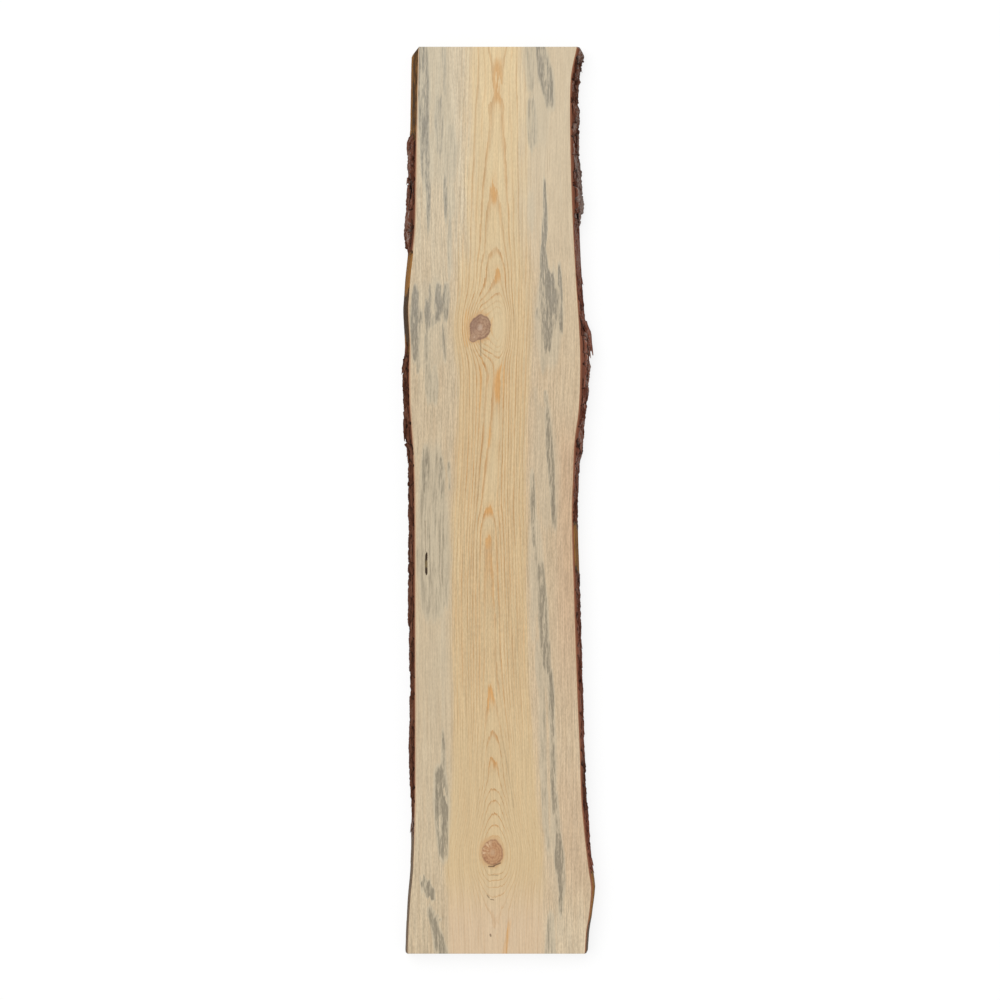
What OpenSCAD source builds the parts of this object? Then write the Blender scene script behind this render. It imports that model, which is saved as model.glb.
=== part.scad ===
// Live-edge softwood plank: one board sawn through a log, with the bark left on both long edges.
// The foot of the trunk is at -Y and its head at +Y. The board lies on its wider face, heart side down.

/* [Board] */
// Length between the two cross cuts
board_length = 1200; // [600:10:2400]
// Thickness between the two sawn faces
board_thickness = 27; // [18:1:60]
// Mean width of the upper face between its two natural edges
face_width = 210; // [160:1:320]

/* [Log] */
// Depth of the heart of the log below the lower face, at the foot
pith_depth_foot = 1; // [0:1:30]
// Depth of the heart of the log below the lower face, at the head
pith_depth_head = 22; // [0:1:60]

/* [Bark] */
// Thickness of the inner bark, which stays on where the outer bark has come off
inner_bark = 1.2; // [0.8:0.1:3]
// Thickness of the outer bark at its fullest scales
outer_bark = 6.5; // [2:0.5:12]

/* [Hidden] */

// How far each natural edge stands out from its mean line, as [share of the length from the foot, mm].
left_edge = [
    [0, 9], [0.03, 7.5], [0.06, 5.5], [0.09, 2], [0.13, -0.5], [0.18, -2], [0.34, -2], [0.5, -1.5],
    [0.55, 0], [0.58, 2.5], [0.61, 5], [0.64, 5.5], [0.67, 5], [0.71, 7.5], [0.74, 6], [0.77, 2],
    [0.8, -1.5], [0.86, -3], [0.94, -4.5], [1, -6]
];
right_edge = [
    [0, 15], [0.025, 17], [0.042, 20.5], [0.072, 23.5], [0.09, 20.5], [0.125, 15.5], [0.17, 10.5],
    [0.22, 8.5], [0.29, 5], [0.39, 1], [0.48, -2], [0.53, -0.5], [0.565, 1.5], [0.6, 7], [0.65, 9],
    [0.69, 7.5], [0.74, 3.5], [0.8, -0.5], [0.87, -3.5], [0.93, -4.5], [0.965, -3.5], [0.985, 0.5], [1, 5]
];

// How full the outer bark is along each edge, as [share of the length from the foot, share of its thickness].
// Two close points are a torn end of a scale, and 0 is bare inner bark.
left_cover = [
    [0, 0], [0.1, 0], [0.16, 0.15], [0.19, 0.45], [0.25, 0.35], [0.4, 0.45], [0.53, 0.4], [0.555, 0.5],
    [0.563, 0.8], [0.58, 0.85], [0.61, 0.5], [0.645, 0.65], [0.66, 0.4], [0.668, 0.1], [0.7, 0], [0.766, 0],
    [0.774, 0.7], [0.79, 0.95], [0.83, 0.75], [0.87, 0.5], [0.897, 0.55], [0.904, 0.05], [1, 0]
];
right_cover = [
    [0, 0.05], [0.05, 0.05], [0.075, 0.25], [0.11, 0.3], [0.17, 0.4], [0.23, 0.2], [0.3, 0.35], [0.45, 0.3],
    [0.53, 0.15], [0.545, 0.25], [0.553, 0.75], [0.62, 0.75], [0.66, 1], [0.686, 0.95], [0.7, 0.2],
    [0.77, 0.05], [0.803, 0.05], [0.811, 0.8], [0.84, 0.95], [0.88, 0.55], [0.93, 0.5], [0.965, 0.7], [1, 0.4]
];

// Wood beyond the saw cuts, which the saw takes away
saw_allowance = 2;
// Spacing of the log's sections, and the bands that round its flanks between the saw cuts
section_step = 10;
flank_bands = 4;

rough_length = board_length + 2 * saw_allowance;
rough_thickness = board_thickness + 2 * saw_allowance;
section_count = ceil(rough_length / section_step);
half_width = face_width / 2;
LEFT = -1;
RIGHT = 1;

// Smooth curve through points of rising share: cubics between neighbours, with slopes from the points around.
function slope_at(points, i) =
    let (before = points[max(i - 1, 0)], after = points[min(i + 1, len(points) - 1)])
    (after[1] - before[1]) / (after[0] - before[0]);
function span_of(points, share) = max([0, for (i = [1:len(points) - 2]) if (points[i][0] <= share) i]);
function smooth(points, share) =
    let (
        i = span_of(points, share),
        start = points[i],
        end = points[i + 1],
        run = end[0] - start[0],
        t = min(max((share - start[0]) / run, 0), 1)
    )
    start[1] * (1 + 2 * t) * (1 - t) * (1 - t) + end[1] * t * t * (3 - 2 * t)
    + run * t * (1 - t) * (slope_at(points, i) * (1 - t) - slope_at(points, i + 1) * t);

// Depth of the heart below the lower face at a share of the length.
function pith_depth(share) = pith_depth_foot + (pith_depth_head - pith_depth_foot) * share;

// Radius of the log under the bark: it passes through the natural edge of the upper face.
function wood_radius(side, share) =
    let (half = half_width + smooth(side == LEFT ? left_edge : right_edge, share))
    norm([half, board_thickness + pith_depth(share)]);
function bark_thickness(side, share) =
    inner_bark + outer_bark * lookup(share, side == LEFT ? left_cover : right_cover);

// Distance of the log's flank from the heart line, at a height above the lower face.
function flank(side, share, height, with_bark) =
    let (radius = wood_radius(side, share) + (with_bark ? bark_thickness(side, share) : 0))
    sqrt(pow(radius, 2) - pow(height + pith_depth(share), 2));

// Where the log's sections stand, as shares of the length, and the heights of the points on its flanks.
shares = [for (i = [0:section_count]) (i / section_count * rough_length - saw_allowance) / board_length];
heights = [for (k = [0:flank_bands]) k / flank_bands * rough_thickness - saw_allowance];

// The plank's box is centred on the origin, so the heart line stands a little to one side.
reach = [for (side = [LEFT, RIGHT]) max([for (share = shares) flank(side, share, 0, true)])];
heart_x = (reach[0] - reach[1]) / 2;

// Solid through a row of sections. Each section goes up one flank and down the other, with as many points
// on both. Every four-cornered patch is split from its lower corner towards the head, so that two solids
// which share a flank meet face to face.
module loft(sections) {
    n = len(sections[0]);
    last = len(sections) - 1;
    half = n / 2;
    walls = [
        for (i = [0:last - 1], k = [0:n - 1])
        let (a = i * n + k, b = i * n + (k + 1) % n)
        each k < half ? [[a, b, b + n], [a, b + n, a + n]] : [[a, b, a + n], [b, b + n, a + n]]
    ];
    ends = [
        for (k = [0:half - 2])
        let (a = k, b = k + 1, c = n - 2 - k, d = n - 1 - k, far = last * n)
        each [[a, d, c, b], [far + a, far + b, far + c, far + d]]
    ];
    polyhedron(points = [for (section = sections) each section], faces = concat(walls, ends));
}

// One flank of the log at a share of the length, as points from below the lower face to above the upper one.
function flank_points(side, share, with_bark) = [
    for (z = heights)
    [heart_x + side * flank(side, share, z, with_bark), (share - 0.5) * board_length, z]
];
function reversed(points) = [for (k = [len(points) - 1:-1:0]) points[k]];

// The part of a log between the saw cuts: from one flank, given as [side, with_bark], to another.
module sawn(left_flank, right_flank) {
    intersection() {
        translate([-board_length, -board_length / 2, 0])
            cube([2 * board_length, board_length, board_thickness]);
        loft([
            for (share = shares)
            concat(
                flank_points(left_flank[0], share, left_flank[1]),
                reversed(flank_points(right_flank[0], share, right_flank[1]))
            )
        ]);
    }
}

module timber_board() {
    color("burlywood") sawn([LEFT, false], [RIGHT, false]);
}

module bark_left() {
    color("saddlebrown") sawn([LEFT, true], [LEFT, false]);
}

module bark_right() {
    color("saddlebrown") sawn([RIGHT, false], [RIGHT, true]);
}

timber_board();
bark_left();
bark_right();
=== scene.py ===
# %% [markdown]
# A live-edge plank: one softwood board sawn through a log, with the bark left on both long edges.
# The fixed frame holds its real size and outline. This lesson dresses that frame: the wood gets its
# growth rings, knots, fungus stain and resin, and the bark gets its scales, torn ends and loose flakes.
# Everything is worked out in millimetres, and turned into metres where a mesh is made.

# %% Load the frame
from functools import partialmethod

import bpy
import numpy as np
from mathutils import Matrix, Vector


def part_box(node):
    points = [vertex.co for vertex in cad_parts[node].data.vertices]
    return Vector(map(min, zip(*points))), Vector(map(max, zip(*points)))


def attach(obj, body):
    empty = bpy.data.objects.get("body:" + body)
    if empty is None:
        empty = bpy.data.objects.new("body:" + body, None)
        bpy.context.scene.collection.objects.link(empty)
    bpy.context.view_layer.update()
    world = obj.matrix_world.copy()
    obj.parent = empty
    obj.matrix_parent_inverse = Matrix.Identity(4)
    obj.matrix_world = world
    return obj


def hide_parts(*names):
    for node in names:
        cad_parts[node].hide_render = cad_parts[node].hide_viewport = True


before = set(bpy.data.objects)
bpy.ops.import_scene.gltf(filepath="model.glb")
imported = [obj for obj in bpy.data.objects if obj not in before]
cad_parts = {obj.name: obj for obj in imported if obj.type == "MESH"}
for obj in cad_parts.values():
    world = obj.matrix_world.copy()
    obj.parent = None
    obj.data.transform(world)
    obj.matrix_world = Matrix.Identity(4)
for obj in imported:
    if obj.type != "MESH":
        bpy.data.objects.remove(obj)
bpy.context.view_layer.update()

MM = 0.001
board_low, board_high = (np.array(corner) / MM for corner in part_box("timber_board"))
thickness = board_high[2]
half_length = board_high[1]
print(f"board: {board_high - board_low} mm")

# %% [markdown]
# The saw left two kinds of edge on each side: where the wood meets the bark, and where the bark ends.
# Both are read from the frame's solids, on the upper and the lower face, as lines of x over y.
# Reading them keeps the dressed plank where the solid plank is, and nothing has to be fitted by eye.

# %% Edges of wood and bark
LEFT, RIGHT = -1, 1
bark_nodes = {LEFT: "bark_left", RIGHT: "bark_right"}


def corners(node):
    """All corner points of a solid, in millimetres."""
    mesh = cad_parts[node].data
    points = np.empty(len(mesh.vertices) * 3)
    mesh.vertices.foreach_get("co", points)
    return points.reshape(-1, 3) / MM


SAME_HEIGHT, THINNEST_BARK = 0.01, 0.4


def edge_line(points, height, keep):
    """Edge of a face as two arrays, y and x: the kept corners at that height, in order of y."""
    on_face = points[(np.abs(points[:, 2] - height) < SAME_HEIGHT) & keep]
    order = np.argsort(on_face[:, 1])
    return on_face[order, 1], on_face[order, 0]


def read_edges(side):
    """Wood and bark edges of one side at the lower and upper face."""
    wood, bark = corners("timber_board"), corners(bark_nodes[side])
    lines = {}
    for height in (0, thickness):
        lines["wood", height] = edge_line(wood, height, wood[:, 0] * side > 0)
        y, x = lines["wood", height]
        outside = (bark[:, 0] - np.interp(bark[:, 1], y, x)) * side > THINNEST_BARK
        lines["bark", height] = edge_line(bark, height, outside)
    return lines


edges = {side: read_edges(side) for side in (LEFT, RIGHT)}
print("edge points:", {side: [len(y) for y, _ in lines.values()] for side, lines in edges.items()})

# %% [markdown]
# Between the two faces a log's flank is an arc. Over a board's thickness it is close to a straight slope
# that swells a little in the middle, and that needs only the two edges and the height of the arc.

# %% Flanks
LOG_RADIUS = 112
flank_swell = thickness ** 2 / (8 * LOG_RADIUS)


def flank(layer, side, y, z):
    """x of a flank: straight from the lower to the upper edge, plus a parabola for the arc of the log."""
    low = np.interp(y, *edges[side][layer, 0])
    high = np.interp(y, *edges[side][layer, thickness])
    share = z / thickness
    return low + (high - low) * share + side * flank_swell * 4 * share * (1 - share)


print(f"flanks swell by {flank_swell:.2f} mm")

# %% [markdown]
# At the head end both long corners are broken off. Points beyond the natural edge are drawn back there, so
# wood and bark end along the same slanted break.

# %% Broken corners
# Where a break starts outside the natural edge, and how steep it is.
broken_head = {LEFT: (0, 0.95), RIGHT: (4, 1.3)}
break_length = 24


def drawn_back(x, y):
    """y drawn back by the slope times the distance beyond the start of the break, fading along the board."""
    near_end = np.clip(1 - (half_length - y) / break_length, 0, 1)
    for side, (start, slope) in broken_head.items():
        beyond = (x - np.interp(y, *edges[side]["wood", thickness])) * side - start
        y = y - slope * np.maximum(beyond, 0) * near_end
    return y


# %% [markdown]
# Wood and bark are irregular, but an irregular thing still has to come out the same on every run.
# So the random numbers come from a formula: whole-number cells go in, and scrambled digits come out.
# Smooth noise blends the numbers at the corners of its cells, and rough noise adds finer copies.

# %% Repeatable noise
def scatter(a, b, seed):
    """Random numbers from 0 to 1 for whole-number cells: products with large primes, folded over twice."""
    mixed = a.astype(np.int64) * 374761393 + b.astype(np.int64) * 668265263 + seed * 974634637
    mixed = ((mixed ^ (mixed >> 13)) * 1274126177) & 0xFFFFFFFF
    return (mixed ^ (mixed >> 16)) / 2 ** 32


def wander(u, v, seed):
    """Smooth noise from -1 to 1: the cell's four corner numbers, blended by eased shares of the cell."""
    u, v = np.broadcast_arrays(u, v)
    cell_u, cell_v = np.floor(u), np.floor(v)
    share_u, share_v = u - cell_u, v - cell_v
    ease_u, ease_v = share_u ** 2 * (3 - 2 * share_u), share_v ** 2 * (3 - 2 * share_v)
    near = scatter(cell_u, cell_v, seed) * (1 - ease_u) + scatter(cell_u + 1, cell_v, seed) * ease_u
    far = scatter(cell_u, cell_v + 1, seed) * (1 - ease_u) + scatter(cell_u + 1, cell_v + 1, seed) * ease_u
    return 2 * (near * (1 - ease_v) + far * ease_v) - 1


def rough(u, v, seed, octaves=4):
    """Rough noise: smooth noise plus copies at twice the pace and half the height."""
    return sum(wander(u * 2 ** i, v * 2 ** i, seed + i) / 2 ** i for i in range(octaves)) / 1.6


def scales(u, v, seed):
    """Cells around scattered seeds: distance to the nearest seed, to the next one, and the cell's number."""
    nearest, second = np.full(u.shape, 9.0), np.full(u.shape, 9.0)
    tone = np.zeros(u.shape)
    for step_u in (-1, 0, 1):
        for step_v in (-1, 0, 1):
            cell_u, cell_v = np.floor(u) + step_u, np.floor(v) + step_v
            off_u = cell_u + scatter(cell_u, cell_v, seed) - u
            off_v = cell_v + scatter(cell_u, cell_v, seed + 1) - v
            gap = np.hypot(off_u, off_v)
            closer = gap < nearest
            second = np.where(closer, nearest, np.minimum(second, gap))
            tone = np.where(closer, scatter(cell_u, cell_v, seed + 2), tone)
            nearest = np.minimum(nearest, gap)
    return nearest, second, tone


def ease(low, high, value):
    """0 below low, 1 above high and an S-curve between; low may be the larger one."""
    share = np.clip((value - low) / (high - low), 0, 1)
    return share ** 2 * (3 - 2 * share)


def through(points, at):
    """Smooth curve through points given as place: value, of cubics whose slopes come from neighbours."""
    xs, ys = np.array(list(points.items()), float).T
    slope = np.gradient(ys, xs)
    i = np.clip(np.searchsorted(xs, at) - 1, 0, len(xs) - 2)
    run = xs[i + 1] - xs[i]
    t = np.clip((at - xs[i]) / run, 0, 1)
    return (ys[i] * (1 + 2 * t) * (1 - t) ** 2 + ys[i + 1] * t ** 2 * (3 - 2 * t)
            + run * t * (1 - t) * (slope[i] * (1 - t) - slope[i + 1] * t))


# %% [markdown]
# Board, bark strips and flakes are all bent boxes. One function lays a grid on the six sides of a box and
# says which grid place each corner has; a piece then only needs a formula from grid place to point.
# The sides share their border corners, so the skin is closed, and its faces point outwards.

# %% Skin of a box
def box_skin(nx, ny, nz):
    """Grid places i, j, k of the corners on a box of nx, ny, nz grid lines, and the quads between them."""
    on_skin = np.zeros((nx, ny, nz), bool)
    on_skin[[0, -1]] = on_skin[:, [0, -1]] = on_skin[:, :, [0, -1]] = True
    number = np.cumsum(on_skin).reshape(on_skin.shape) - 1

    def quads(grid, outward):
        ring = [grid[:-1, :-1], grid[1:, :-1], grid[1:, 1:], grid[:-1, 1:]]
        return np.stack(ring if outward else ring[::-1], axis=-1).reshape(-1, 4)

    sides = [
        quads(number[-1], True), quads(number[0], False),
        quads(number[:, -1], False), quads(number[:, 0], True),
        quads(number[:, :, -1], True), quads(number[:, :, 0], False),
    ]
    return np.nonzero(on_skin), np.concatenate(sides)


SHARP_ANGLE = np.radians(50)


def make_piece(name, points, quads, attributes, finish, slot):
    """Puts points (mm) and quads into a mesh with named values at its corners, and rides it on the frame."""
    mesh = bpy.data.meshes.new(name)
    mesh.vertices.add(len(points))
    mesh.vertices.foreach_set("co", (points * MM).astype(np.float32).ravel())
    mesh.loops.add(quads.size)
    mesh.loops.foreach_set("vertex_index", quads.astype(np.int32).ravel())
    mesh.polygons.add(len(quads))
    mesh.polygons.foreach_set("loop_start", np.arange(0, quads.size, 4, dtype=np.int32))
    mesh.polygons.foreach_set("use_smooth", np.ones(len(quads), bool))
    mesh.update(calc_edges=True)
    mesh.set_sharp_from_angle(angle=SHARP_ANGLE)
    for attribute, values in attributes.items():
        layer = mesh.attributes.new(attribute, "FLOAT", "POINT")
        layer.data.foreach_set("value", values.astype(np.float32))
    mesh.materials.append(finish)
    piece = bpy.data.objects.new(name, mesh)
    bpy.context.scene.collection.objects.link(piece)
    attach(piece, "root")
    print(f"{name}: {2 * len(quads)} triangles")
    return piece


# %% [markdown]
# The pattern on a board's face is a cut through the log's growth rings, which are cones around the heart.
# The heart lies below this board and sinks towards the head, so the rings come up as pointed arches that
# aim at the head. Two curves along the board describe that: where the heart runs, and which ring radius
# meets the face above it. Near a branch the rings swell outwards, so there the face shows older wood.

# %% Growth rings
# Sideways place of the heart, as y: x.
heart_path = {
    -600: -4, -525: -6, -430: -5, -380: -7, -300: -7.5, -248: -11, -150: -12.5, -43: -14, 0: -11.5, 40: -7,
    80: -4, 132: -2, 190: 1.5, 274: 1, 307: -2, 350: -6, 430: -6, 500: -3, 537: -2, 600: -1,
}
# The same for the straighter lines beside it.
calm_path = {-600: -4, -430: -5, -300: -7.5, -150: -12, -40: -12.5, 130: -8, 350: -5, 600: -1}
crest_reach = 12
# The arches near the foot have flat tops, as y: half width of the flat.
flat_top = {-600: 6, -480: 6.5, -440: 5, -330: 4.5, -270: 2, 600: 1}
# How round the rings look across the board, as y: radius of the roundest line.
roundness = {
    -600: 44, -530: 52, -465: 60, -420: 42, -380: 30, -330: 27, -100: 27, 0: 24, 90: 24, 150: 27, 200: 30,
    300: 42, 600: 48,
}
# Ring radius on the upper face above the heart, as y: radius.
face_radius = {
    -600: 27.8, -569: 27.4, -542: 26.5, -525: 24.6, -513: 22, -504: 19.4, -497: 17, -465: 12, -430: 16.8,
    -416: 19.4, -398: 22, -383: 24.6, -342: 27.2, -304: 29.8, -248: 32.4, -158: 33.5, -92: 34.3, -43: 35,
    -6: 37.6, 40: 38.4, 80: 38.8, 132: 39.4, 152: 39.5, 170: 39.6, 180: 39.2, 190: 38.1, 200: 34.8,
    210: 32.6, 229: 30.8, 248: 32, 257: 34.2, 265: 36.3, 275: 38.2, 307: 40.2, 336: 42.8, 384: 44.2,
    426: 45.4, 440: 45.8, 463: 46.3, 503: 46.95, 525: 47.1, 531: 47.45, 538: 47.72, 550: 47.76, 566: 47.6,
    582: 47, 600: 45.7,
}
heart_depth_foot, heart_depth_head = 28, 48.3
# How far the swelling reaches sideways, as y: reach.
swelling_reach = {-600: 40, -520: 38, -465: 36, -420: 30, -370: 26, -330: 25, 600: 25}


def heart_depth(y):
    """Depth of the heart below the upper face: a straight line from foot to head."""
    return heart_depth_foot + (heart_depth_head - heart_depth_foot) * (y + half_length) / (2 * half_length)


def bell(x, y, place_x, place_y, across, along):
    """Bell curve over a place: 1 there, fading with the squares of the distances over their reaches."""
    return np.exp(-((x - place_x) / across) ** 2 - ((y - place_y) / along) ** 2)


# A branch beside the heart pushes the rings aside as well, by so many mm, at [x, y, reach across, along].
side_swelling, side_branch = 9, [-34, 229, 34, 36]


def beside_heart(x, y):
    """Distance sideways from the heart: from its calm path, plus its own wandering, which fades as a bell
    curve; small distances are made smaller still, for flat-topped arches."""
    calm = through(calm_path, y)
    aside = x - calm - (through(heart_path, y) - calm) * np.exp(-((x - calm) / crest_reach) ** 2)
    return aside ** 3 / (aside ** 2 + through(flat_top, y) ** 2)


def ring_radius(x, y, z):
    """Radius of the ring at a point: distance from the heart, less the swelling round branches, which fades
    sideways as a bell curve and downwards with the height above the heart."""
    aside = beside_heart(x, y)
    below_face, round_below = heart_depth(y), through(roundness, y)
    height_share = 1 - (thickness - z) / below_face
    swelling = (below_face - through(face_radius, y)) * np.exp(-(aside / through(swelling_reach, y)) ** 2)
    swelling = swelling + side_swelling * bell(x, y, *side_branch)
    arc = np.hypot(aside, round_below * height_share) + (below_face - round_below) * height_share
    return arc - swelling * np.clip(height_share, 0, 1) ** 2


# %% [markdown]
# A ring's radius gives its age once the widths of all years are summed. Young trees grow fast, so rings are
# wide near the heart and narrow towards the bark. Whole ages are the ends of the years.

# %% Ring ages
inner_ring, outer_ring = 2.6, 1.5
anchor_radius, anchor_age, narrow_from, narrow_until = 48, 18, 62, 85
radius_steps = np.linspace(-20, 150, 1701)
ring_width = np.interp(radius_steps, [narrow_from, narrow_until], [inner_ring, outer_ring])
good_years = 0.45 * wander(radius_steps / 3.7, np.zeros(1), 5) * ease(48, 52, radius_steps)
age_steps = np.cumsum((1 + good_years) / ring_width) * (radius_steps[1] - radius_steps[0])
age_steps += anchor_age - np.interp(anchor_radius, radius_steps, age_steps)


def ring_age(radius):
    """Age of the tree at a radius: one year for each ring width, summed from the heart."""
    return np.interp(radius, radius_steps, age_steps)


print("rings from heart to bark:", round(float(ring_age(LOG_RADIUS) - ring_age(0))))

# %% [markdown]
# Heartwood ends at one ring. The lines of the rings are plain along the heart, where the saw met them at a
# low angle, and fade sideways. Tables give all this along the board, and a few places are calmer still.

# %% Heartwood and ring lines
# Heartwood on the upper face reaches this far from the heart, as y: distance.
heart_half = {
    -600: 64, -450: 63, -330: 54, -250: 52, -150: 50, 0: 49, 100: 46, 180: 47, 235: 50, 290: 46, 340: 38,
    450: 36, 600: 36,
}


def past_heartwood(x, y, z):
    """Distance outwards from the last ring of heartwood."""
    edge_x = through(calm_path, y) + through(heart_half, y)
    return ring_radius(x, y, z) - ring_radius(edge_x, y, thickness)


# Strength of the lines at the heart, as y: strength, and how far they reach sideways, as y: reach.
line_strength = {
    -600: 0.35, -555: 0.5, -515: 1, -430: 1.5, -390: 1.8, -335: 1.6, -300: 0.8, -250: 1.1, -205: 0.95,
    -90: 1.05, -40: 1.2, 40: 1.25, 200: 1.3, 260: 1.25, 320: 1, 430: 0.7, 600: 0.55,
}
line_reach = {
    -600: 30, -530: 42, -465: 44, -420: 30, -250: 24, -150: 46, -20: 52, 250: 52, 330: 40, 600: 34,
}
faint_lines = 0.6
# Faint places, such as the eye beside the first knot, as [x, y, reach across, reach along, share].
quiet_places = [
    [-2, 231, 13, 36, 0.93], [-4, 337, 8, 9, 0.5], [-2.6, 100, 5.5, 28, 0.75], [-17, 100, 3.5, 34, 0.55],
    [-7.5, 40, 6.5, 38, 0.7], [-12.6, -29, 6, 8, 0.7],
]


def calmness(x, y):
    """How calm a place is: the strongest of the bell-shaped quiet places."""
    calm = np.zeros(x.shape)
    for *place, share in quiet_places:
        calm = np.maximum(calm, share * bell(x, y, *place))
    return calm


def ring_lines(x, y):
    """How plain the ring lines are: a bell curve across the heart on a faint rest, less in calm places."""
    fade = np.exp(-(beside_heart(x, y) / through(line_reach, y)) ** 2)
    plain = faint_lines + (through(line_strength, y) - faint_lines) * fade
    return plain * (1 - calmness(x, y))


print(f"heartwood {2 * min(heart_half.values())} to {2 * max(heart_half.values())} mm wide")

# %% [markdown]
# Grain is plainer in some parts of a board than in others: calm where the log grew slowly, lively near the
# ends. Three short tables give its amount along the heart and along each side of the sapwood.

# %% Liveliness of the grain
heart_grain = {-600: 0.55, -450: 0.6, -300: 0.85, -200: 1.1, 100: 0.9, 400: 0.75, 600: 0.7}
left_grain = {-600: 1.5, -480: 1.3, -350: 1, -200: 0.9, 0: 1.1, 120: 1.35, 400: 1.35, 600: 1.1}
right_grain = {-600: 1.45, -450: 1.3, -240: 1.25, 0: 1.35, 250: 1.1, 400: 0.65, 600: 0.6}


def grain_amount(x, y, past_heart):
    """Amount of grain: the heart's own inside it, and outside a blend of the two sides of the sapwood."""
    left, right = through(left_grain, y), through(right_grain, y)
    sap = left + (right - left) * ease(-40, 40, x)
    return sap + (through(heart_grain, y) - sap) * ease(3, -3, past_heart)


# %% [markdown]
# A knot is a branch that the trunk grew around: a cone that starts at the heart and widens outwards.
# The number kept at each corner is the distance from the branch's axis as a share of its radius there, so
# the finish can draw the knot, its own rings and its dark rim wherever the cone meets a face.

# %% Knots
# Each knot: place on the upper face, radii across and along, turn, lean towards the head, and tone.
knots = [
    dict(x=-24.3, y=228.8, across=14.4, along=17.2, turn=-0.3, lean=14, red=0.0),
    dict(x=-7.5, y=-466, across=14.3, along=17.6, turn=0.1, lean=8, red=1.0),
]
# The first knot has a tail of bark at its lower left.
tail = dict(x=-31.8, y=216, across=5.6, along=7.8, turn=-0.6, lean=14, red=0.0)
KNOT_FAR = 3.0


def knot_share(knot, x, y, z):
    """Distance from a branch's axis over the branch's radius, both at that height above the heart."""
    heart_x = through(heart_path, np.array(knot["y"]))
    depth = heart_depth(knot["y"])
    grown = np.clip((depth - thickness + z) / depth, 0.02, 1)
    east = x - heart_x - (knot["x"] - heart_x) * grown
    north = y - knot["y"] + knot["lean"] * (1 - grown)
    across = east * np.cos(knot["turn"]) + north * np.sin(knot["turn"])
    along = north * np.cos(knot["turn"]) - east * np.sin(knot["turn"])
    angle = np.arctan2(along, across)
    uneven = 1 + 0.07 * wander(3 * np.cos(angle) + 7, 3 * np.sin(angle) + knot["y"], 11)
    return np.hypot(across / knot["across"], along / knot["along"]) / grown * uneven


fibre_push, fibre_turn, fibre_reach, fibre_along = 9, 13, 36, 34


def fibre_place(x, y):
    """Sideways place of a fibre: x, less the heart's wandering and the push of the knots it passes."""
    place = x - through(heart_path, y) * 0.5
    for knot in knots:
        near = bell(x, y, knot["x"], knot["y"], fibre_reach, fibre_along)
        place = place - fibre_push * near * np.tanh((x - knot["x"]) / fibre_turn)
    return place


def knot_field(x, y, z):
    """Share of the nearest knot, and how red that knot is."""
    shares = np.stack([knot_share(knot, x, y, z) for knot in [*knots, tail]])
    reds = np.array([knot["red"] for knot in [*knots, tail]])
    return np.minimum(shares.min(0), KNOT_FAR), reds[shares.argmin(0)]


print(f"{len(knots)} knots, {knots[0]['y'] - knots[1]['y']:.0f} mm apart")
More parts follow.
